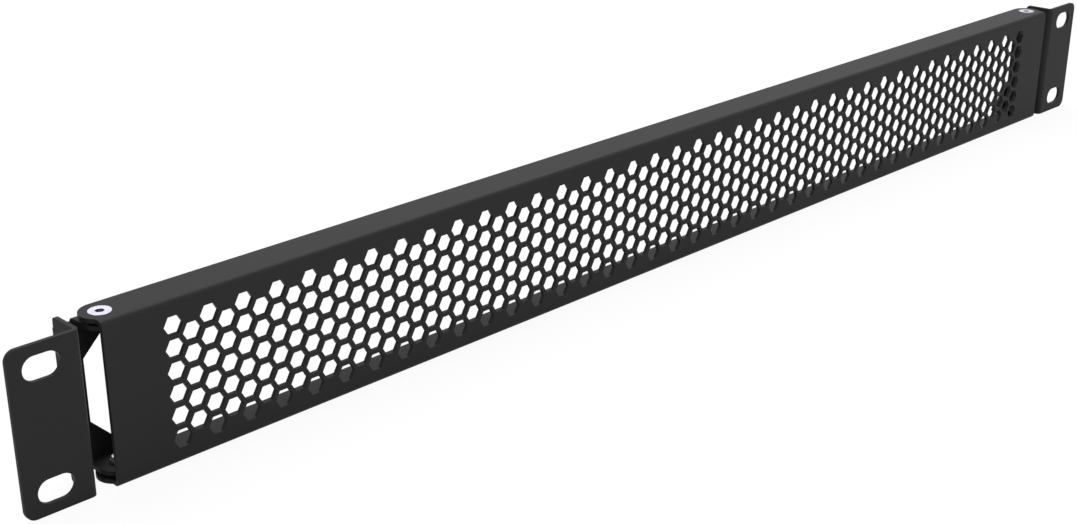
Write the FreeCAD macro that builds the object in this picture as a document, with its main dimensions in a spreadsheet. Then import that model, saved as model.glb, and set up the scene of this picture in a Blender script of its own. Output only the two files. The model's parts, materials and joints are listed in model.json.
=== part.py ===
import FreeCAD, Part
import math
import os

import Sketcher
from FreeCAD import Placement, Rotation, Vector

# Hinged, vented panel for one unit of a 19 inch rack, in millimetres.
#
# The origin is the centre of the four rack slots, on the plane where the ears bear on the rack
# rails. X runs along the panel, Y runs back into the rack, and Z is up.
#
# The panel is one folded channel with a field of hexagonal vents. At each end it hangs on a
# folded bracket: an ear with two rack slots, a web that runs back past the end of the panel, a
# rear flange that turns in behind it, and two lugs that turn forward inside the channel. Two
# countersunk screws through the channel's flanges into the lugs are the pivots of that end.

SIZES = {
    # rack
    "rack_width": 482.6,            # over both ears
    "slot_spacing_across": 465.12,
    "slot_spacing_up": 31.75,
    "slot_length": 9.9,
    "slot_width": 6.4,
    # panel
    "panel_height": 43.9,
    "panel_depth": 12.0,
    "panel_sheet": 1.2,
    "panel_step": 0.6,              # face of the panel ahead of the ears' face
    "end_gap": 5.25,                # end of the panel to the web
    "bend_radius": 0.4,             # inside every fold
    # vents
    "vent_width": 4.8,              # across flats
    "column_pitch": 5.2,
    "row_pitch": 6.1,
    "vent_margin_ends": 16.0,       # least plain sheet beyond the vents
    "vent_margin_edges": 4.2,
    # pivots
    "pivot_inset": 3.6,             # from the end of the panel
    "pivot_depth": 6.75,            # behind the panel's face
    "pivot_play": 0.08,             # between screw and panel, on the radius
    "dimple_play": 0.05,            # between dimple and lug
    # brackets
    "bracket_sheet": 1.2,
    "ear_width": 19.3,              # ear and fold, to the web's inner face
    "ear_corner_radius": 3.0,
    "web_corner_radius": 1.0,
    "flange_depth": 11.8,           # rear flange behind the panel's face
    "flange_height": 37.4,
    "flange_strip": 5.9,            # plain strip of the rear flange, inside the web
    "window_height": 17.0,          # between the arms where they leave the strip
    "lug_gap": 0.85,                # lug inside the channel's flange
    "lug_nose_gap": 0.65,           # lug's nose behind the panel's face
    "arm_reach": 8.0,               # arm's end, inboard of the pivot
    # screws, M3 countersunk
    "screw_diameter": 3.0,
    "screw_length": 5.0,            # over all
    "head_diameter": 5.8,
    "socket_width": 2.0,            # across flats
    "socket_depth": 1.1,
}


class Size:
    """A length that knows both its value and the expression that gives it."""

    def __init__(self, value, text=None):
        self.value = value
        self.text = text or repr(float(value))

    def _join(self, sign, other, value):
        other = other if isinstance(other, Size) else Size(other)
        return Size(value(self.value, other.value), f"({self.text} {sign} {other.text})")

    def __add__(self, other):
        return self._join("+", other, lambda a, b: a + b)

    def __sub__(self, other):
        return self._join("-", other, lambda a, b: a - b)

    def __mul__(self, other):
        return self._join("*", other, lambda a, b: a * b)

    def __truediv__(self, other):
        return self._join("/", other, lambda a, b: a / b)

    def __neg__(self):
        return self * -1

    def sqrt(self):
        return Size(math.sqrt(self.value), f"sqrt({self.text})")

    def floor(self):
        return Size(math.floor(self.value), f"floor({self.text})")


# ---------------------------------------------------------------- document and sizes

doc = FreeCAD.newDocument("vented_rack_panel")
sheet = doc.addObject("Spreadsheet::Sheet", "sizes")
for row, (name, value) in enumerate(SIZES.items(), start=1):
    sheet.set(f"A{row}", name)
    sheet.set(f"B{row}", str(value))
    sheet.setAlias(f"B{row}", name)
doc.recompute()


def size(name):
    return Size(SIZES[name], f"sizes.{name}")


ORIGIN = Size(0.0)
bend_inner = size("bend_radius")
panel_sheet = size("panel_sheet")
bracket_sheet = size("bracket_sheet")
panel_bend_outer = bend_inner + panel_sheet
bracket_bend_outer = bend_inner + bracket_sheet

# along X, for the right-hand end
ear_end = size("rack_width") / 2
slot_x = size("slot_spacing_across") / 2
web_inner = ear_end - size("ear_width")
web_outer = web_inner + bracket_sheet
panel_end = web_inner - size("end_gap")
pivot_x = panel_end - size("pivot_inset")
arm_end = pivot_x - size("arm_reach")
window_edge = web_inner - size("flange_strip")

# along Y
ear_face = -bracket_sheet
panel_face = ear_face - size("panel_step")
panel_back = panel_face + size("panel_depth")
pivot_y = panel_face + size("pivot_depth")
flange_front = panel_face + size("flange_depth")
flange_back = flange_front + bracket_sheet
web_back = flange_back - bracket_bend_outer

# along Z, for the upper half
panel_top = size("panel_height") / 2
channel_top = panel_top - panel_sheet
slot_z = size("slot_spacing_up") / 2
lug_top = channel_top - size("lug_gap")
lug_bottom = lug_top - bracket_sheet

# about the pivot
lobe_radius = panel_back - pivot_y
nose_radius = size("pivot_depth") - panel_sheet - size("lug_nose_gap")
screw_radius = size("screw_diameter") / 2
head_radius = size("head_diameter") / 2
pivot_bore = screw_radius + size("pivot_play")
dimple_height = size("lug_gap") - size("dimple_play")
dimple_radius = pivot_bore + panel_sheet


# ---------------------------------------------------------------- helpers

def new_body(name):
    body = doc.addObject("PartDesign::Body", name)
    body.Label = name
    return body


def base_element(body, role):
    """One of the body's own base planes or axes."""
    return next(item for item in body.Origin.OriginFeatures if item.Role == role)


def new_sketch(body, name, plane, offset=(ORIGIN, ORIGIN, ORIGIN)):
    """A sketch on a base plane of the body, moved by an offset in the sketch's own axes."""
    sketch = body.newObject("Sketcher::SketchObject", name)
    sketch.AttachmentSupport = [(base_element(body, plane), "")]
    sketch.MapMode = "FlatFace"
    for axis, length in zip("xyz", offset):
        sketch.setExpression(f".AttachmentOffset.Base.{axis}", length.text)
    return sketch


def bind_length(sketch, kind, places, length):
    number = sketch.addConstraint(Sketcher.Constraint(kind, *places, length.value))
    sketch.setExpression(f"Constraints[{number}]", length.text)


def bind_point(sketch, edge, end, x, y):
    """Hold one point of an edge at (x, y)."""
    for kind, axis, length in (("DistanceX", -2, x), ("DistanceY", -1, y)):
        if length.text == ORIGIN.text:
            sketch.addConstraint(Sketcher.Constraint("PointOnObject", edge, end, axis))
        else:
            bind_length(sketch, kind, (edge, end), length)


def add_line(sketch, start, end):
    points = [Vector(x.value, y.value, 0) for x, y in (start, end)]
    return sketch.addGeometry(Part.LineSegment(*points))


def join(sketch, edge, end, next_edge, next_start, kind="Coincident"):
    sketch.addConstraint(Sketcher.Constraint(kind, edge, end, next_edge, next_start))


def toward(here, there, distance):
    """The coordinate that lies a distance from here on the way to there."""
    if abs(there.value - here.value) < 1e-6:
        return here
    return here + distance if there.value > here.value else here - distance


def draw_outline(sketch, corners):
    """Draw a closed outline of straight edges through its corners.

    A corner is (x, y), or (x, y, radius) where an edge along x and one along y meet in a fold.
    """
    points = []
    for index, (x, y, *radius) in enumerate(corners):
        if not radius:
            points.append((x, y, None))
            continue
        for neighbour in (corners[index - 1], corners[(index + 1) % len(corners)]):
            place = (toward(x, neighbour[0], radius[0]), toward(y, neighbour[1], radius[0]))
            points.append((*place, (x, y, radius[0]) if neighbour is corners[index - 1] else None))

    edges = []
    for index, (x, y, fold) in enumerate(points):
        next_x, next_y, _ = points[(index + 1) % len(points)]
        if fold is None:
            edges.append((add_line(sketch, (x, y), (next_x, next_y)), 1, 2))
            continue
        corner_x, corner_y, radius = fold
        centre = Vector(x.value + next_x.value - corner_x.value,
                        y.value + next_y.value - corner_y.value, 0)
        corner = Vector(corner_x.value, corner_y.value, 0)
        middle = centre + (corner - centre).normalize() * radius.value
        start, end = Vector(x.value, y.value, 0), Vector(next_x.value, next_y.value, 0)
        arc = sketch.addGeometry(Part.Arc(start, middle, end))
        ends = (1, 2) if (sketch.getPoint(arc, 1) - start).Length < 1e-6 else (2, 1)
        edges.append((arc, *ends))
        bind_length(sketch, "Radius", (arc,), radius)

    for index, (edge, start, end) in enumerate(edges):
        next_edge, next_start, _ = edges[(index + 1) % len(edges)]
        join(sketch, edge, end, next_edge, next_start)
        bind_point(sketch, edge, start, points[index][0], points[index][1])


def draw_circle(sketch, x, y, radius):
    centre = Vector(x.value, y.value, 0)
    circle = sketch.addGeometry(Part.Circle(centre, Vector(0, 0, 1), radius.value))
    bind_point(sketch, circle, 3, x, y)
    bind_length(sketch, "Radius", (circle,), radius)


def draw_slot(sketch, x, y, length, width):
    """A slot along x with round ends, centred on (x, y)."""
    radius = width / 2
    reach = (length - width) / 2
    upper = add_line(sketch, (x - reach, y + radius), (x + reach, y + radius))
    lower = add_line(sketch, (x + reach, y - radius), (x - reach, y - radius))
    for edge, side in ((upper, 1), (lower, -1)):
        bind_point(sketch, edge, 1, x - reach * side, y + radius * side)
        bind_point(sketch, edge, 2, x + reach * side, y + radius * side)
    for centre_x, side, first, last in ((x + reach, 1, lower, upper), (x - reach, -1, upper, lower)):
        centre = Vector(centre_x.value, y.value, 0)
        bulge = centre + Vector(side * radius.value, 0, 0)
        above, below = (centre + Vector(0, sign * radius.value, 0) for sign in (side, -side))
        end = sketch.addGeometry(Part.Arc(below, bulge, above))
        join(sketch, end, 1, first, 1)
        join(sketch, end, 2, last, 2)
        bind_length(sketch, "DistanceX", (end, 3), centre_x)


def draw_hexagon(sketch, x, y, width):
    """A hexagon with two flats along x, centred on (x, y), from its width across flats."""
    flat = width / 2
    corner = width / Size(3.0).sqrt()
    places = ((1, 0), (0.5, 1), (-0.5, 1), (-1, 0), (-0.5, -1), (0.5, -1))
    draw_outline(sketch, [(x + corner * across, y + flat * up) for across, up in places])


volumes = {}    # of each body, as its features are added


def finish_feature(body, feature, grows):
    """Recompute a feature and stop if it added or removed nothing."""
    doc.recompute()
    change = feature.Shape.Volume - volumes.get(body.Label, 0.0)
    if abs(change) < 1e-3 or (change > 0) != grows:
        raise RuntimeError(f"{body.Label}: {feature.Name} changed the volume by {change:.4f}")
    volumes[body.Label] = feature.Shape.Volume
    body.Tip = feature
    return feature


def add_pad(body, name, sketch, length, symmetric=False):
    pad = body.newObject("PartDesign::Pad", name)
    pad.Profile = sketch
    pad.SideType = "Symmetric" if symmetric else "One side"
    pad.setExpression("Length", length.text)
    return finish_feature(body, pad, grows=True)


def add_cut(body, name, sketch, depth=None):
    """Cut a sketch right through on both sides, or to a depth below its plane."""
    pocket = body.newObject("PartDesign::Pocket", name)
    pocket.Profile = sketch
    if depth is None:
        pocket.SideType = "Symmetric"
        pocket.Type = "ThroughAll"
    else:
        pocket.setExpression("Length", depth.text)
    return finish_feature(body, pocket, grows=False)


def add_turned(body, kind, name, sketch):
    """Turn a sketch about its own vertical axis, as a Revolution or a Groove."""
    feature = body.newObject(f"PartDesign::{kind}", name)
    feature.Profile = sketch
    feature.ReferenceAxis = (sketch, ["V_Axis"])
    feature.Angle = 360
    return finish_feature(body, feature, grows=kind == "Revolution")


def add_mirror(body, name, originals, plane, grows):
    mirror = body.newObject("PartDesign::Mirrored", name)
    mirror.Originals = originals
    mirror.MirrorPlane = (base_element(body, plane), [""])
    return finish_feature(body, mirror, grows)


def add_row(body, name, original, count, step):
    """Repeat a cut along X."""
    pattern = body.newObject("PartDesign::LinearPattern", name)
    pattern.Originals = [original]
    pattern.Refine = False
    pattern.Direction = (base_element(body, "X_Axis"), [""])
    pattern.Mode = "Spacing"
    pattern.setExpression("Occurrences", count.text)
    pattern.setExpression("Offset", step.text)
    return finish_feature(body, pattern, grows=False)


def round_edges(body, name, direction, places, radius):
    """Round the straight edges along a direction that pass through the given places."""
    base = body.Tip
    names = []
    for number, edge in enumerate(base.Shape.Edges, start=1):
        if edge.Curve.TypeId != "Part::GeomLine":
            continue
        if abs(edge.Curve.Direction.normalize().dot(direction)) < 0.999:
            continue
        middle = edge.CenterOfMass
        if any((middle - place).cross(direction).Length < 1e-4 for place in places):
            names.append(f"Edge{number}")
    fillet = body.newObject("PartDesign::Fillet", name)
    fillet.Base = (base, names)
    fillet.setExpression("Radius", radius.text)
    return finish_feature(body, fillet, grows=False)


# ---------------------------------------------------------------- panel

def make_panel():
    """The folded channel, its rounded flange ends, dimpled pivot seats and vents."""
    body = new_body("panel")

    section = new_sketch(body, "channel_section", "YZ_Plane")
    inner_face = panel_face + panel_sheet
    draw_outline(section, [
        (panel_back, panel_top),
        (panel_back, channel_top),
        (inner_face, channel_top, bend_inner),
        (inner_face, -channel_top, bend_inner),
        (panel_back, -channel_top),
        (panel_back, -panel_top),
        (panel_face, -panel_top, panel_bend_outer),
        (panel_face, panel_top, panel_bend_outer),
    ])
    add_pad(body, "channel", section, (pivot_x + lobe_radius) * 2, symmetric=True)

    end = new_sketch(body, "end_outline", "XY_Plane")
    draw_end_waste(end)
    end_cut = add_cut(body, "end_cut", end)
    add_mirror(body, "other_end_cut", [end_cut], "YZ_Plane", grows=False)

    at_pivot = (pivot_x, ORIGIN, -pivot_y)
    dimple = new_sketch(body, "dimple_section", "XZ_Plane", at_pivot)
    seat = new_sketch(body, "seat_section", "XZ_Plane", at_pivot)
    for side in (1, -1):
        draw_outline(dimple, [
            (ORIGIN, channel_top * side),
            (dimple_radius + dimple_height, channel_top * side),
            (dimple_radius, (channel_top - dimple_height) * side),
            (ORIGIN, (channel_top - dimple_height) * side),
        ])
        draw_outline(seat, [(radius, z * side) for radius, z in seat_profile()])
    dimples = add_turned(body, "Revolution", "dimples", dimple)
    add_mirror(body, "other_dimples", [dimples], "YZ_Plane", grows=True)
    seats = add_turned(body, "Groove", "seats", seat)
    add_mirror(body, "other_seats", [seats], "YZ_Plane", grows=False)

    add_vents(body)
    return body


def draw_end_waste(sketch):
    """What is trimmed off one end: the face ends square, and the flanges round the pivot."""
    clear = panel_sheet
    far_x = pivot_x + lobe_radius + clear
    inset = panel_end - pivot_x
    lobe_start = pivot_y - (lobe_radius * lobe_radius - inset * inset).sqrt()
    places = [
        (panel_end, lobe_start),
        (panel_end, panel_face - clear),
        (far_x, panel_face - clear),
        (far_x, panel_back + clear),
        (pivot_x, panel_back + clear),
        (pivot_x, panel_back),
    ]
    edges = [add_line(sketch, *pair) for pair in zip(places, places[1:])]
    for edge, (x, y) in zip(edges, places):
        bind_point(sketch, edge, 1, x, y)
    bind_point(sketch, edges[-1], 2, *places[-1])
    for edge, next_edge in zip(edges, edges[1:]):
        join(sketch, edge, 2, next_edge, 1)
    start, stop = (Vector(x.value, y.value, 0) for x, y in (places[0], places[-1]))
    middle = Vector(pivot_x.value + lobe_radius.value, pivot_y.value, 0)
    lobe = sketch.addGeometry(Part.Arc(start, middle, stop))
    join(sketch, lobe, 1, edges[0], 1)
    join(sketch, lobe, 2, edges[-1], 2)
    bind_length(sketch, "Radius", (lobe,), lobe_radius)


def seat_profile():
    """The countersink and bore for a pivot screw, from its axis outwards."""
    seat_radius = head_radius + size("pivot_play")
    return [
        (ORIGIN, panel_top),
        (seat_radius, panel_top),
        (pivot_bore, panel_top - (seat_radius - pivot_bore)),
        (pivot_bore, lug_top),
        (ORIGIN, lug_top),
    ]


def add_vents(body):
    """Hexagonal vents in staggered columns, as many as the margins leave room for."""
    width = size("vent_width")
    column_pitch, row_pitch = size("column_pitch"), size("row_pitch")
    room_x = panel_end - size("vent_margin_ends") - width / Size(3.0).sqrt()
    room_z = panel_top - size("vent_margin_edges") - width / 2
    pairs = (room_x / column_pitch / 2).floor() * 2
    full_rows = (room_z / row_pitch + 0.5).floor()
    short_rows = (room_z / row_pitch).floor()

    def draw_column(sketch, x, first_row):
        for step in range(round(-first_row.value * 2) + 1):
            draw_hexagon(sketch, x, (first_row + step) * row_pitch, width)

    first = -(pairs * column_pitch)
    pair = new_sketch(body, "column_pair_vents", "XZ_Plane")
    draw_column(pair, first, -full_rows + 0.5)
    draw_column(pair, first + column_pitch, -short_rows)
    cut = add_cut(body, "column_pair", pair)
    add_row(body, "column_pairs", cut, pairs, column_pitch * 2)
    last = new_sketch(body, "last_column_vents", "XZ_Plane")
    draw_column(last, -first, -full_rows + 0.5)
    add_cut(body, "last_column", last)


# ---------------------------------------------------------------- brackets

def make_right_bracket():
    """One folded sheet: ear, web, rear flange with a window, and two lugs."""
    body = new_body("right_bracket")
    nose_side = pivot_x + nose_radius
    lug_root = web_back - bend_inner
    up, along, back = Vector(0, 0, 1), Vector(1, 0, 0), Vector(0, 1, 0)

    ear = new_sketch(body, "ear_and_web", "XY_Plane")
    draw_outline(ear, [
        (ear_end, ear_face),
        (ear_end, ORIGIN),
        (web_outer, ORIGIN, bend_inner),
        (web_outer, web_back),
        (web_inner, web_back),
        (web_inner, ear_face, bracket_bend_outer),
    ])
    add_pad(body, "ear", ear, size("panel_height"), symmetric=True)
    height = panel_top.value
    corners = [Vector(ear_end.value, 0, z) for z in (height, -height)]
    round_edges(body, "ear_corners", back, corners, size("ear_corner_radius"))
    corners = [Vector(0, web_back.value, z) for z in (height, -height)]
    round_edges(body, "web_corners", along, corners, size("web_corner_radius"))

    flange = new_sketch(body, "web_and_flange", "XY_Plane")
    draw_outline(flange, [
        (web_outer, pivot_y),
        (web_outer, flange_back, bracket_bend_outer),
        (nose_side - bracket_sheet, flange_back),
        (nose_side - bracket_sheet, flange_front),
        (web_inner, flange_front, bend_inner),
        (web_inner, pivot_y),
    ])
    add_pad(body, "rear_flange", flange, size("flange_height"), symmetric=True)

    fold = new_sketch(body, "lug_folds", "YZ_Plane", (ORIGIN, ORIGIN, arm_end))
    draw_outline(fold, [
        (lug_root, lug_top),
        (flange_back, lug_top, bracket_bend_outer),
        (flange_back, -lug_top, bracket_bend_outer),
        (lug_root, -lug_top),
        (lug_root, -lug_bottom),
        (flange_front, -lug_bottom, bend_inner),
        (flange_front, lug_bottom, bend_inner),
        (lug_root, lug_bottom),
    ])
    add_pad(body, "folded_arms", fold, nose_side - arm_end)

    lug = new_sketch(body, "lug_outline", "XY_Plane", (ORIGIN, ORIGIN, lug_bottom))
    draw_lug(lug, nose_side, lug_root)
    lug_pad = add_pad(body, "lug", lug, bracket_sheet)
    add_mirror(body, "other_lug", [lug_pad], "XY_Plane", grows=True)

    window = new_sketch(body, "window_outline", "XZ_Plane")
    low = size("window_height") / 2
    high = lug_bottom - bend_inner
    taper = window_edge - (high - low)
    beyond = arm_end - size("arm_reach")
    draw_outline(window, [
        (window_edge, low), (taper, high), (beyond, high),
        (beyond, -high), (taper, -high), (window_edge, -low),
    ])
    add_cut(body, "window", window)

    bores = new_sketch(body, "lug_bores", "XY_Plane")
    draw_circle(bores, pivot_x, pivot_y, screw_radius)
    add_cut(body, "threaded_bores", bores)

    slots = new_sketch(body, "slot_outlines", "XZ_Plane")
    for z in (slot_z, -slot_z):
        draw_slot(slots, slot_x, z, size("slot_length"), size("slot_width"))
    add_cut(body, "rack_slots", slots)
    return body


def draw_lug(sketch, nose_side, lug_root):
    """A lug in plan: a round nose about the pivot, a straight side and a tangent one."""
    reach = Vector(arm_end.value - pivot_x.value, lug_root.value - pivot_y.value, 0)
    spread = math.acos(nose_radius.value / reach.Length)
    angle = math.atan2(reach.y, reach.x) + spread
    centre = Vector(pivot_x.value, pivot_y.value, 0)
    tangent = centre + Vector(math.cos(angle), math.sin(angle), 0) * nose_radius.value
    tangent_point = (Size(tangent.x), Size(tangent.y))

    side = add_line(sketch, (nose_side, lug_root), (nose_side, pivot_y))
    slant = add_line(sketch, tangent_point, (arm_end, lug_root))
    root = add_line(sketch, (arm_end, lug_root), (nose_side, lug_root))
    circle = Part.Circle(centre, Vector(0, 0, 1), nose_radius.value)
    nose = sketch.addGeometry(Part.ArcOfCircle(circle, angle, 2 * math.pi))
    join(sketch, side, 2, nose, 2)
    join(sketch, nose, 1, slant, 1, "Tangent")
    join(sketch, slant, 2, root, 1)
    join(sketch, root, 2, side, 1)
    bind_point(sketch, side, 1, nose_side, lug_root)
    bind_point(sketch, side, 2, nose_side, pivot_y)
    bind_point(sketch, nose, 3, pivot_x, pivot_y)
    bind_point(sketch, slant, 2, arm_end, lug_root)


# ---------------------------------------------------------------- screws

def make_screw(name, side, upper):
    """A pivot screw, its head flush with the panel's flange and its point in the lug."""
    body = new_body(name)
    length = size("screw_length")

    turned = new_sketch(body, f"{name}_section", "XZ_Plane")
    draw_outline(turned, [
        (ORIGIN, ORIGIN),
        (head_radius, ORIGIN),
        (screw_radius, -(head_radius - screw_radius)),
        (screw_radius, -length),
        (ORIGIN, -length),
    ])
    add_turned(body, "Revolution", f"{name}_shank", turned)

    socket = new_sketch(body, f"{name}_socket_outline", "XY_Plane")
    draw_hexagon(socket, ORIGIN, ORIGIN, size("socket_width"))
    add_cut(body, f"{name}_socket", socket, size("socket_depth"))

    if not upper:
        body.Placement = Placement(Vector(), Rotation(Vector(1, 0, 0), 180))
    place = (pivot_x * side, pivot_y, panel_top if upper else -panel_top)
    for axis, length in zip("xyz", place):
        body.setExpression(f".Placement.Base.{axis}", length.text)
    return body


# ---------------------------------------------------------------- assembly

parts = [make_panel(), make_right_bracket()]

left_bracket = doc.addObject("Part::Mirroring", "left_bracket")
left_bracket.Label = "left_bracket"
left_bracket.Source = parts[1]
left_bracket.Normal = Vector(1, 0, 0)
parts.append(left_bracket)

for end_name, side in (("left", -1), ("right", 1)):
    for level, upper in (("upper", True), ("lower", False)):
        parts.append(make_screw(f"{level}_{end_name}_screw", side, upper))

doc.recompute()

for item in doc.Objects:
    if "Invalid" in item.State or "Error" in item.State:
        raise RuntimeError(f"{item.Label} failed: {item.State}")
for part in parts:
    if part.Shape.isNull() or not part.Shape.isValid() or len(part.Shape.Solids) != 1:
        raise RuntimeError(f"{part.Label} is not one valid solid")

os.makedirs("parts", exist_ok=True)
for part in parts:
    part.Shape.exportStep(f"parts/{part.Label}.step")
    print(f"{part.Label}: {part.Shape.Volume:.1f} mm3")
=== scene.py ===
"""Dress a hinged, vented rack panel: coated folded sheets, plated pivot screws and a stage."""

import json
import math

import bpy
from bpy.props import FloatProperty, FloatVectorProperty, IntProperty, PointerProperty
from bpy.types import Operator, Panel, PropertyGroup
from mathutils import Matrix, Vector

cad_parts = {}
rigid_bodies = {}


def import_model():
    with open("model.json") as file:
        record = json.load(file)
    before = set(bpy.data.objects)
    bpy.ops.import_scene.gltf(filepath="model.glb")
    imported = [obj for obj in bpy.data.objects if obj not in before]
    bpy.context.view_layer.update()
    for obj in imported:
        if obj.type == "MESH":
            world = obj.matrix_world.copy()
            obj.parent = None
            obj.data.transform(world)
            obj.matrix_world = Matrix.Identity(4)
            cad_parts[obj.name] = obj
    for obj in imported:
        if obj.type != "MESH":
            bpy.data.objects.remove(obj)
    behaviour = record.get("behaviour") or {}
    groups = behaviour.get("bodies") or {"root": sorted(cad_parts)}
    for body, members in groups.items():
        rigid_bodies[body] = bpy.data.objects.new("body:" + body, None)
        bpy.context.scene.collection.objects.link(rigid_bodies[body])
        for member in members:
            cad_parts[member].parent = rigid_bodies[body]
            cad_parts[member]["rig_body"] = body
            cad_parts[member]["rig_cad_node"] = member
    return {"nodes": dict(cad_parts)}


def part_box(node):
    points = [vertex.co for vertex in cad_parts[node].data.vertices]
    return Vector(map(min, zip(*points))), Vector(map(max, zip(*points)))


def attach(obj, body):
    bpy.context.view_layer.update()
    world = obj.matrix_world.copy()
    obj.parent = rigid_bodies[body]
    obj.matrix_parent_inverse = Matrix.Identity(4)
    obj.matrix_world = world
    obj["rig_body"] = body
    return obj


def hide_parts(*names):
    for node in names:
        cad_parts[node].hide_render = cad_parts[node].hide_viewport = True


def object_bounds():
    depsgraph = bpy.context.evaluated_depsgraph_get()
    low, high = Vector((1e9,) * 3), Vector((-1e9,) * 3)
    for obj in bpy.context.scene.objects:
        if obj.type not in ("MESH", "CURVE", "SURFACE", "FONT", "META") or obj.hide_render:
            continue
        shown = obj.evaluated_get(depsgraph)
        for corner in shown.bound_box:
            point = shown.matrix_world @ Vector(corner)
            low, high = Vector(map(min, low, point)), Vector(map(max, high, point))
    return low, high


bl_info = {
    "name": "Vented Rack Panel",
    "version": (1, 0, 0),
    "blender": (4, 5, 0),
    "location": "View3D > Sidebar > Rack Panel",
    "description": "Coated sheets, plated screws and a studio stage for a hinged rack panel",
    "category": "Object",
}

MM = 0.001

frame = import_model()
cad_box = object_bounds()

# The body that carries each CAD sheet.
SHEETS = {"panel": "panel", "left_bracket": "left_bracket", "right_bracket": "right_bracket"}

# The body that carries each CAD screw, and whether the screw's head faces up (1) or down (-1).
SCREWS = {
    "upper_left_screw": ("left_bracket", 1),
    "lower_left_screw": ("left_bracket", -1),
    "upper_right_screw": ("right_bracket", 1),
    "lower_right_screw": ("right_bracket", -1),
}

# Each lamp's place and width in metres and its power in watts. A lamp faces the origin.
LAMPS = {
    "overhead_lamp": ((0.3, 0.5, 1.3), 1.2, 24.0),
    "front_lamp": ((0.0, -1.7, 0.8), 1.0, 7.5),
}

# How much of the floor and the sky is seen as plain white. The rest of the floor is lit, and
# keeps the panel's shadow.
FLOOR_SEEN = 0.93
SKY_SEEN = 1.0
WHITE = (1.0, 1.0, 1.0, 1.0)

# Edges of a folded sheet and of a turned screw that are sharper than this get rounded.
CUT_EDGE = math.radians(40)
TURNED_EDGE = math.radians(28)

# Faces that meet at less than this are shaded as one smooth surface.
SMOOTH_UNDER = math.radians(20)
THREAD_SMOOTH_UNDER = math.radians(30)

# A corner where three or more edges meet has room for a rounding when each edge is this many
# radii long. Edges with an end within reach of a tighter corner stay sharp.
ROOM_IN_RADII = 2.2
TIGHT_REACH = 0.6 * MM

# Points of a CAD mesh closer than this are made one point, and faces this near to one plane
# are made one face.
SAME_POINT = 0.0005 * MM
SAME_PLANE = math.radians(0.2)

# Small forms of a screw, each as a share of the size that it follows.
POINT_TAPER = 0.85  # the end of the point, of the thread's root
DRILL_DEPTH = 0.4  # the drilled point below the socket, of the socket's corner radius
DRILL_TIP = 0.05  # the flat at the drilled point's tip, of the same radius
# The faces inside the socket take a darker plate, which is painted shade for the recess.
SOCKET_WITHIN = 0.98  # what counts as inside the socket, of the same radius
RIDGE_DEPTH = 1.15  # the thread's ridge, of the thread's depth: its foot is inside the shank
RIDGE_HALF_FOOT = 0.48  # half the width of the ridge's foot, of the pitch
THREAD_STEPS = 32  # steps in one turn of the thread


# ---------------------------------------------------------------- sizes and colours

class CoatSettings(PropertyGroup):
    """The folded sheets and their powder coat."""

    colour: FloatVectorProperty(
        name="Colour", description="Colour of the powder coat", subtype="COLOR",
        size=3, min=0.0, max=1.0, default=(0.025, 0.025, 0.026))
    edge_radius: FloatProperty(
        name="Edge radius", description="Rounding of the coat over a cut edge",
        unit="LENGTH", min=0.02 * MM, max=0.5 * MM, default=0.05 * MM)
    roughness: FloatProperty(
        name="Roughness", description="How far the coat scatters a reflection",
        min=0.05, max=1.0, default=0.42)
    gloss: FloatProperty(
        name="Gloss", description="Strength of the coat's reflection",
        min=0.0, max=1.0, default=0.035)
    grain_size: FloatProperty(
        name="Grain", description="Size of the coat's fine grain",
        unit="LENGTH", min=0.05 * MM, max=2.0 * MM, default=0.35 * MM)
    flow_size: FloatProperty(
        name="Flow", description="Size of the slow waves that the melted powder leaves",
        unit="LENGTH", min=0.5 * MM, max=10.0 * MM, default=2.2 * MM)


class ScrewSettings(PropertyGroup):
    """The countersunk pivot screws."""

    colour: FloatVectorProperty(
        name="Colour", description="Colour of the zinc plate", subtype="COLOR",
        size=3, min=0.0, max=1.0, default=(0.55, 0.53, 0.63))
    # Painted shade: a darker plate inside the socket stands in for the shade that falls in its
    # recess.
    socket_shade_colour: FloatVectorProperty(
        name="Socket shade", description="Colour of the painted shade inside the socket",
        subtype="COLOR", size=3, min=0.0, max=1.0, default=(0.22, 0.20, 0.27))
    shank_diameter: FloatProperty(
        name="Shank", description="Diameter over the thread's crests",
        unit="LENGTH", min=1.0 * MM, max=6.0 * MM, default=3.0 * MM)
    thread_pitch: FloatProperty(
        name="Pitch", description="Advance of the thread in one turn",
        unit="LENGTH", min=0.2 * MM, max=2.0 * MM, default=0.5 * MM)
    thread_depth: FloatProperty(
        name="Thread depth", description="Height of the thread's crests over its roots",
        unit="LENGTH", min=0.05 * MM, max=1.0 * MM, default=0.3 * MM)
    rim: FloatProperty(
        name="Rim", description="Straight rim of the head above its cone",
        unit="LENGTH", min=0.02 * MM, max=1.0 * MM, default=0.05 * MM)
    socket_width: FloatProperty(
        name="Socket", description="Socket width across flats",
        unit="LENGTH", min=0.5 * MM, max=4.0 * MM, default=2.15 * MM)
    socket_depth: FloatProperty(
        name="Socket depth", description="Depth of the socket's flats",
        unit="LENGTH", min=0.2 * MM, max=3.0 * MM, default=1.6 * MM)
    edge_radius: FloatProperty(
        name="Edge radius", description="Rounding of the screw's turned edges",
        unit="LENGTH", min=0.02 * MM, max=0.5 * MM, default=0.05 * MM)
    sides: IntProperty(
        name="Sides", description="Facets round the screw", min=24, max=128, default=64)


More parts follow.
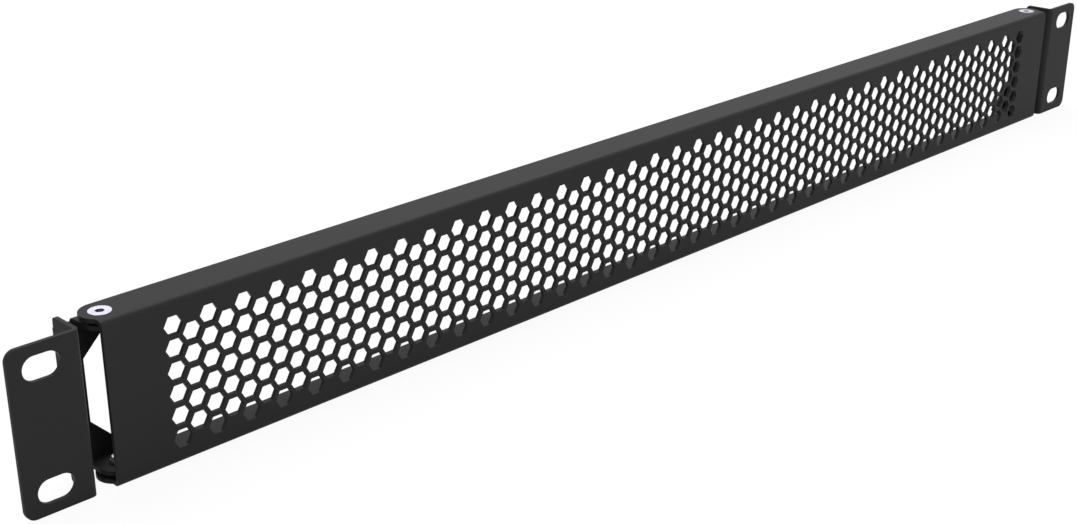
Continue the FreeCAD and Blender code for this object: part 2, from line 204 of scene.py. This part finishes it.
class StageSettings(PropertyGroup):
    """The floor, the lamps and the camera."""

    floor_colour: FloatVectorProperty(
        name="Floor", description="Colour of the floor", subtype="COLOR",
        size=3, min=0.0, max=1.0, default=(0.86, 0.86, 0.86))
    floor_size: FloatProperty(
        name="Floor size", description="Width of the square floor",
        unit="LENGTH", min=1.0, max=50.0, default=12.0)
    sky_strength: FloatProperty(
        name="Sky", description="Strength of the even light from all round",
        min=0.0, max=3.0, default=0.5)
    camera_place: FloatVectorProperty(
        name="Camera", description="Place of the camera", subtype="TRANSLATION",
        size=3, default=(-0.38535, -0.31099, 0.17283))
    camera_turn: FloatVectorProperty(
        name="Camera turn", description="Turn of the camera about x, y and z", subtype="EULER",
        size=3, default=tuple(math.radians(angle) for angle in (67.801, 0.799, -43.072)))
    camera_shift: FloatVectorProperty(
        name="Camera shift", description="Shift of the picture, as a share of its width",
        size=2, min=-0.5, max=0.5, default=(0.0623, 0.0085))
    lens: FloatProperty(
        name="Lens", description="Focal length in millimetres",
        min=20.0, max=200.0, default=53.77)
    sensor_width: FloatProperty(
        name="Sensor", description="Width of the camera's sensor in millimetres",
        min=10.0, max=60.0, default=36.0)


# ---------------------------------------------------------------- materials

def new_material(name):
    """A node material, its nodes and links, and its shader."""
    material = bpy.data.materials.new(name)
    material.use_nodes = True
    nodes, links = material.node_tree.nodes, material.node_tree.links
    shader = next(node for node in nodes if node.type == "BSDF_PRINCIPLED")
    return material, nodes, links, shader


def add_noise(nodes, links, place, feature_size, detail):
    """Noise at the given coordinates, with features of a given size in metres."""
    noise = nodes.new("ShaderNodeTexNoise")
    noise.inputs["Scale"].default_value = 1.0 / feature_size
    noise.inputs["Detail"].default_value = detail
    links.new(place, noise.inputs["Vector"])
    return noise.outputs["Fac"]


def add_range(nodes, links, value, low, high):
    """Map a 0 to 1 value to a range."""
    ramp = nodes.new("ShaderNodeMapRange")
    ramp.inputs["To Min"].default_value = low
    ramp.inputs["To Max"].default_value = high
    links.new(value, ramp.inputs["Value"])
    return ramp.outputs["Result"]


def add_tint(nodes, links, value, dark, light):
    """Mix two colours by a 0 to 1 value."""
    tint = nodes.new("ShaderNodeMix")
    tint.data_type = "RGBA"
    tint.inputs["A"].default_value = (*dark, 1.0)
    tint.inputs["B"].default_value = (*light, 1.0)
    links.new(value, tint.inputs["Factor"])
    return tint.outputs["Result"]


def add_bump(nodes, links, height, strength, distance, normal=None):
    """Raise and lower the surface by a 0 to 1 height, over an earlier bump if there is one."""
    bump = nodes.new("ShaderNodeBump")
    bump.inputs["Strength"].default_value = strength
    bump.inputs["Distance"].default_value = distance
    links.new(height, bump.inputs["Height"])
    if normal:
        links.new(normal, bump.inputs["Normal"])
    return bump.outputs["Normal"]


def powder_coat(settings):
    """Near-black satin powder coat: fine grain over slow waves, with faint clouding."""
    material, nodes, links, shader = new_material("powder_coat_black")
    place = nodes.new("ShaderNodeTexCoord").outputs["Object"]
    grain = add_noise(nodes, links, place, feature_size=settings.grain_size, detail=3.0)
    flow = add_noise(nodes, links, place, feature_size=settings.flow_size, detail=1.0)
    cloud = add_noise(nodes, links, place, feature_size=60.0 * MM, detail=2.0)

    dark, light = ([part * share for part in settings.colour] for share in (0.9, 1.1))
    links.new(add_tint(nodes, links, cloud, dark, light), shader.inputs["Base Color"])
    shader.inputs["Specular IOR Level"].default_value = settings.gloss
    rough, spread = settings.roughness, 0.06
    links.new(add_range(nodes, links, grain, low=rough - spread, high=rough + spread),
              shader.inputs["Roughness"])
    waves = add_bump(nodes, links, flow, strength=0.25, distance=0.02 * MM)
    grains = add_bump(nodes, links, grain, strength=0.5, distance=0.02 * MM, normal=waves)
    links.new(grains, shader.inputs["Normal"])
    return material


def zinc_plate(name, colour):
    """Bluish zinc plate with a faint cloudy bloom."""
    material, nodes, links, shader = new_material(name)
    place = nodes.new("ShaderNodeTexCoord").outputs["Object"]
    bloom = add_noise(nodes, links, place, feature_size=1.2 * MM, detail=3.0)
    fine = add_noise(nodes, links, place, feature_size=0.15 * MM, detail=2.0)

    red, green, blue = colour
    dull, bright = (red * 0.92, green * 0.94, blue), (red * 1.06, green * 1.05, blue)
    links.new(add_tint(nodes, links, bloom, dull, bright), shader.inputs["Base Color"])
    shader.inputs["Metallic"].default_value = 0.85
    links.new(add_range(nodes, links, bloom, low=0.26, high=0.40), shader.inputs["Roughness"])
    pits = add_bump(nodes, links, fine, strength=0.2, distance=0.01 * MM)
    links.new(pits, shader.inputs["Normal"])
    return material


def set_material(piece, material):
    """Make this the piece's only material."""
    piece.data.materials.clear()
    piece.data.materials.append(material)


# ---------------------------------------------------------------- modelling helpers

def select_only(*pieces):
    """Leave only these objects selected, in object mode, with the first active."""
    bpy.ops.object.select_all(action="DESELECT")
    for piece in pieces:
        piece.select_set(True)
    bpy.context.view_layer.objects.active = pieces[0]


def apply_modifier(piece, name, kind, **settings):
    """Add a modifier, set it and apply it."""
    select_only(piece)
    modifier = piece.modifiers.new(name, kind)
    for key, value in settings.items():
        setattr(modifier, key, value)
    bpy.ops.object.modifier_apply(modifier=modifier.name)


def spare_tight_corners(mesh, radius):
    """Deselect the selected edges beside a corner that has no room for a rounding.

    The faces are deselected too, because a selected face selects its edges again.
    """
    selected = [edge for edge in mesh.edges if edge.select]
    lengths = {}
    for edge in selected:
        start, end = (mesh.vertices[index].co for index in edge.vertices)
        for index in edge.vertices:
            lengths.setdefault(index, []).append((end - start).length)
    tight = [mesh.vertices[index].co for index, met in lengths.items()
             if len(met) > 2 and min(met) < radius * ROOM_IN_RADII]
    beside = {index for index in lengths
              if any((mesh.vertices[index].co - corner).length < TIGHT_REACH for corner in tight)}
    for face in mesh.polygons:
        face.select = False
    for edge in selected:
        edge.select = not beside.intersection(edge.vertices)


def round_edges(piece, radius, sharpest):
    """Round the edges sharper than an angle, and keep flat faces flat in shading."""
    select_only(piece)
    bpy.ops.object.mode_set(mode="EDIT")
    bpy.ops.mesh.select_mode(type="EDGE")
    bpy.ops.mesh.select_all(action="DESELECT")
    bpy.ops.mesh.edges_select_sharp(sharpness=sharpest)
    bpy.ops.object.mode_set(mode="OBJECT")
    spare_tight_corners(piece.data, radius)
    bpy.ops.object.mode_set(mode="EDIT")
    bpy.ops.mesh.bevel(offset=radius, segments=2, clamp_overlap=False)
    bpy.ops.mesh.select_mode(type="VERT")
    bpy.ops.object.mode_set(mode="OBJECT")
    bpy.ops.object.shade_smooth_by_angle(angle=SMOOTH_UNDER)
    apply_modifier(piece, "flat_faces", "WEIGHTED_NORMAL", mode="FACE_AREA", weight=50,
                   keep_sharp=True)


def coat_sheet(context, node):
    """Stand a coated copy of a CAD sheet in for it, its cut edges rounded by the coat."""
    settings = context.scene.rack_coat
    piece = frame["nodes"][node].copy()
    piece.data = piece.data.copy()
    piece.name = f"coated_{node}"
    piece.parent = None
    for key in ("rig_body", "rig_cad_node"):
        if key in piece:
            del piece[key]
    context.scene.collection.objects.link(piece)
    select_only(piece)
    bpy.ops.object.mode_set(mode="EDIT")
    bpy.ops.mesh.select_all(action="SELECT")
    bpy.ops.mesh.remove_doubles(threshold=SAME_POINT)
    bpy.ops.mesh.dissolve_limited(angle_limit=SAME_PLANE)
    bpy.ops.object.mode_set(mode="OBJECT")
    round_edges(piece, settings.edge_radius, CUT_EDGE)
    set_material(piece, bpy.data.materials.get("powder_coat_black") or powder_coat(settings))
    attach(piece, SHEETS[node])
    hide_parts(node)


def extrude(down, scale=1.0):
    """Extrude what is selected down by a distance, and scale its new end about the axis."""
    bpy.ops.mesh.extrude_region_move(TRANSFORM_OT_translate={"value": (0, 0, -down)})
    if scale != 1.0:
        bpy.ops.transform.resize(value=(scale, scale, 1.0), center_override=(0, 0, 0))


def turn_blank(settings, head_radius, length):
    """The screw without its socket and thread, on the z axis with its head's top at z = 0."""
    crest = settings.shank_diameter / 2
    root = crest - settings.thread_depth
    cone = head_radius - crest
    bpy.ops.object.select_all(action="DESELECT")
    bpy.ops.mesh.primitive_circle_add(vertices=settings.sides, radius=head_radius,
                                      fill_type="NGON", enter_editmode=True)
    blank = bpy.context.object
    extrude(settings.rim)
    extrude(cone, crest / head_radius)
    extrude(settings.thread_depth, root / crest)
    extrude(length - settings.rim - cone - settings.thread_depth * 2)
    extrude(settings.thread_depth, POINT_TAPER)
    bpy.ops.mesh.select_all(action="SELECT")
    bpy.ops.mesh.normals_make_consistent(inside=False)
    bpy.ops.object.mode_set(mode="OBJECT")
    return blank


def cut_socket(settings, blank):
    """Cut the hexagonal socket, with its drilled point below the flats."""
    corner = settings.socket_width / math.sqrt(3)
    above = 1.0 * MM
    bpy.ops.object.select_all(action="DESELECT")
    bpy.ops.mesh.primitive_circle_add(vertices=6, radius=corner, location=(0, 0, above),
                                      fill_type="NGON", enter_editmode=True)
    cutter = bpy.context.object
    extrude(above + settings.socket_depth)
    extrude(corner * DRILL_DEPTH, DRILL_TIP)
    bpy.ops.mesh.select_all(action="SELECT")
    bpy.ops.mesh.normals_make_consistent(inside=False)
    bpy.ops.object.mode_set(mode="OBJECT")
    apply_modifier(blank, "socket", "BOOLEAN", operation="DIFFERENCE", object=cutter,
                   solver="EXACT")
    bpy.data.objects.remove(cutter)


def paint_socket_shade(settings, blank):
    """Give the faces inside the socket and its drilled point the second, darker material: painted
    shade for the recess.
    """
    corner = settings.socket_width / math.sqrt(3)
    top = -settings.rim / 2
    bottom = -settings.socket_depth - corner / 2
    for face in blank.data.polygons:
        across = face.center.xy.length
        if across < corner * SOCKET_WITHIN and bottom < face.center.z < top:
            face.material_index = 1


def wind_thread(settings, top, bottom):
    """The thread's ridge, wound about the z axis between two levels, its ends closed."""
    pitch, crest = settings.thread_pitch, settings.shank_diameter / 2
    depth = settings.thread_depth
    turns = math.floor((top - bottom) / pitch - 1)
    bpy.ops.object.select_all(action="DESELECT")
    bpy.ops.mesh.primitive_circle_add(vertices=3, radius=1.0, enter_editmode=True,
                                      rotation=(math.pi / 2, math.pi / 2, 0))
    ridge = bpy.context.object
    bpy.ops.object.mode_set(mode="OBJECT")
    bpy.ops.object.transform_apply(location=True, rotation=True, scale=True)
    points = [vertex.co for vertex in ridge.data.vertices]
    peak = max(point.x for point in points)
    reach = peak - min(point.x for point in points)
    half = max(point.z for point in points)
    for point in points:
        point.x = crest - (peak - point.x) * depth * RIDGE_DEPTH / reach
        point.z = point.z * pitch * RIDGE_HALF_FOOT / half + bottom + pitch / 2
    apply_modifier(ridge, "turns", "SCREW", axis="Z", screw_offset=pitch, iterations=turns,
                   steps=THREAD_STEPS, render_steps=THREAD_STEPS, use_merge_vertices=False)
    select_only(ridge)
    bpy.ops.object.mode_set(mode="EDIT")
    bpy.ops.mesh.select_all(action="SELECT")
    bpy.ops.mesh.fill_holes(sides=3)
    bpy.ops.mesh.normals_make_consistent(inside=False)
    bpy.ops.object.mode_set(mode="OBJECT")
    bpy.ops.object.shade_smooth_by_angle(angle=THREAD_SMOOTH_UNDER)
    return ridge


def make_screw(settings, head_radius, length):
    """One plated screw on the z axis, with its head's top at z = 0."""
    blank = turn_blank(settings, head_radius, length)
    cut_socket(settings, blank)
    round_edges(blank, settings.edge_radius, TURNED_EDGE)
    head = settings.rim + head_radius - settings.shank_diameter / 2
    ridge = wind_thread(settings, -head - settings.thread_depth / 2,
                        -length + settings.thread_depth)
    select_only(blank, ridge)
    bpy.ops.object.join()
    set_material(blank, zinc_plate("zinc_plate_blue", settings.colour))
    # The second material is a darker plate, painted shade inside the socket.
    blank.data.materials.append(zinc_plate("zinc_plate_socket_shade", settings.socket_shade_colour))
    paint_socket_shade(settings, blank)
    return blank


def set_screw(context, screw, node):
    """Stand a copy of the screw in for a CAD screw."""
    body, side = SCREWS[node]
    low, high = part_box(node)
    piece = screw.copy()
    piece.data = screw.data.copy()
    piece.name = f"plated_{node}"
    context.scene.collection.objects.link(piece)
    piece.location = ((low[0] + high[0]) / 2, (low[1] + high[1]) / 2,
                      high[2] if side > 0 else low[2])
    piece.rotation_euler = (0 if side > 0 else math.pi, 0, 0)
    select_only(piece)
    bpy.ops.object.transform_apply(location=True, rotation=True, scale=True)
    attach(piece, body)
    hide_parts(node)


# ---------------------------------------------------------------- stage

def seen_share(nodes, links, share):
    """A share for rays from the camera, a mirror or glass, and 0 for the light itself."""
    path = nodes.new("ShaderNodeLightPath")
    total = path.outputs["Is Camera Ray"]
    for kind in ("Is Glossy Ray", "Is Transmission Ray"):
        add = nodes.new("ShaderNodeMath")
        add.operation = "MAXIMUM"
        links.new(total, add.inputs[0])
        links.new(path.outputs[kind], add.inputs[1])
        total = add.outputs["Value"]
    scale = nodes.new("ShaderNodeMath")
    scale.operation = "MULTIPLY"
    scale.inputs[1].default_value = share
    links.new(total, scale.inputs[0])
    return scale.outputs["Value"]


def add_floor(settings):
    """The pale floor under the panel, seen as almost white."""
    low, high = cad_box
    centre = ((low[0] + high[0]) / 2, (low[1] + high[1]) / 2)
    bpy.ops.object.select_all(action="DESELECT")
    bpy.ops.mesh.primitive_plane_add(size=settings.floor_size, location=(*centre, low[2]))
    floor = bpy.context.object
    floor.name = "floor"
    material, nodes, links, shader = new_material("pale_floor")
    shader.inputs["Base Color"].default_value = (*settings.floor_colour, 1.0)
    shader.inputs["Roughness"].default_value = 0.9
    glow = nodes.new("ShaderNodeEmission")
    mix = nodes.new("ShaderNodeMixShader")
    output = next(node for node in nodes if node.type == "OUTPUT_MATERIAL")
    links.new(seen_share(nodes, links, FLOOR_SEEN), mix.inputs["Fac"])
    links.new(shader.outputs["BSDF"], mix.inputs[1])
    links.new(glow.outputs["Emission"], mix.inputs[2])
    links.new(mix.outputs["Shader"], output.inputs["Surface"])
    set_material(floor, material)


def add_sky(scene, settings):
    """An even light from all round, seen as white."""
    world = bpy.data.worlds.new("studio")
    scene.world = world
    world.use_nodes = True
    nodes, links = world.node_tree.nodes, world.node_tree.links
    light = nodes["Background"]
    light.inputs["Color"].default_value = WHITE
    light.inputs["Strength"].default_value = settings.sky_strength
    white = nodes.new("ShaderNodeBackground")
    white.inputs["Color"].default_value = WHITE
    mix = nodes.new("ShaderNodeMixShader")
    links.new(seen_share(nodes, links, SKY_SEEN), mix.inputs["Fac"])
    links.new(light.outputs["Background"], mix.inputs[1])
    links.new(white.outputs["Background"], mix.inputs[2])
    links.new(mix.outputs["Shader"], nodes["World Output"].inputs["Surface"])


def add_lamps():
    """The soft square lamps."""
    for name, (place, size, power) in LAMPS.items():
        bpy.ops.object.light_add(type="AREA", location=place)
        lamp = bpy.context.object
        lamp.name = name
        lamp.data.size = size
        lamp.data.energy = power
        lamp.rotation_euler = (-Vector(place)).to_track_quat("-Z", "Y").to_euler()


def add_camera(scene, settings):
    """The camera, in front of the panel's left end and above it."""
    bpy.ops.object.camera_add(location=settings.camera_place, rotation=settings.camera_turn)
    camera = bpy.context.object
    camera.name = "camera"
    camera.data.sensor_width = settings.sensor_width
    camera.data.lens = settings.lens
    camera.data.shift_x, camera.data.shift_y = settings.camera_shift
    camera.data.clip_start = 10.0 * MM
    scene.camera = camera


# ---------------------------------------------------------------- operators

class RACK_OT_coat_panel(Operator):
    """Coat the folded channel of the panel"""

    bl_idname = "rack.coat_panel"
    bl_label = "Coat the Panel"

    def execute(self, context):
        coat_sheet(context, "panel")
        return {"FINISHED"}


class RACK_OT_coat_brackets(Operator):
    """Coat the two folded ear brackets"""

    bl_idname = "rack.coat_brackets"
    bl_label = "Coat the Brackets"

    def execute(self, context):
        for node in ("left_bracket", "right_bracket"):
            coat_sheet(context, node)
        return {"FINISHED"}


class RACK_OT_add_screws(Operator):
    """Turn one countersunk pivot screw and put a copy at each pivot"""

    bl_idname = "rack.add_screws"
    bl_label = "Add the Pivot Screws"

    def execute(self, context):
        low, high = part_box("upper_left_screw")
        screw = make_screw(context.scene.rack_screw, (high[0] - low[0]) / 2, high[2] - low[2])
        for node in SCREWS:
            set_screw(context, screw, node)
        bpy.data.objects.remove(screw)
        return {"FINISHED"}


class RACK_OT_set_stage(Operator):
    """Lay the floor and place the lamps and the camera"""

    bl_idname = "rack.set_stage"
    bl_label = "Set the Stage"

    def execute(self, context):
        settings = context.scene.rack_stage
        add_floor(settings)
        add_sky(context.scene, settings)
        add_lamps()
        add_camera(context.scene, settings)
        context.scene.view_settings.view_transform = "Standard"
        return {"FINISHED"}


# ---------------------------------------------------------------- panel and registration

class RACK_PT_panel(Panel):
    """Sizes, colours and building steps of the rack panel"""

    bl_idname = "RACK_PT_panel"
    bl_label = "Vented Rack Panel"
    bl_space_type = "VIEW_3D"
    bl_region_type = "UI"
    bl_category = "Rack Panel"

    def draw(self, context):
        layout = self.layout
        for group in (context.scene.rack_coat, context.scene.rack_screw, context.scene.rack_stage):
            box = layout.box()
            for name in group.__annotations__:
                box.prop(group, name)
        for step in STEPS:
            layout.operator(step.bl_idname)


STEPS = (RACK_OT_coat_panel, RACK_OT_coat_brackets, RACK_OT_add_screws, RACK_OT_set_stage)
CLASSES = (CoatSettings, ScrewSettings, StageSettings, *STEPS, RACK_PT_panel)


def register():
    for item in CLASSES:
        bpy.utils.register_class(item)
    bpy.types.Scene.rack_coat = PointerProperty(type=CoatSettings)
    bpy.types.Scene.rack_screw = PointerProperty(type=ScrewSettings)
    bpy.types.Scene.rack_stage = PointerProperty(type=StageSettings)


def unregister():
    del bpy.types.Scene.rack_stage
    del bpy.types.Scene.rack_screw
    del bpy.types.Scene.rack_coat
    for item in reversed(CLASSES):
        bpy.utils.unregister_class(item)


def main():
    register()
    bpy.ops.rack.coat_panel()
    bpy.ops.rack.coat_brackets()
    bpy.ops.rack.add_screws()
    bpy.ops.rack.set_stage()


if __name__ == "__main__":
    main()
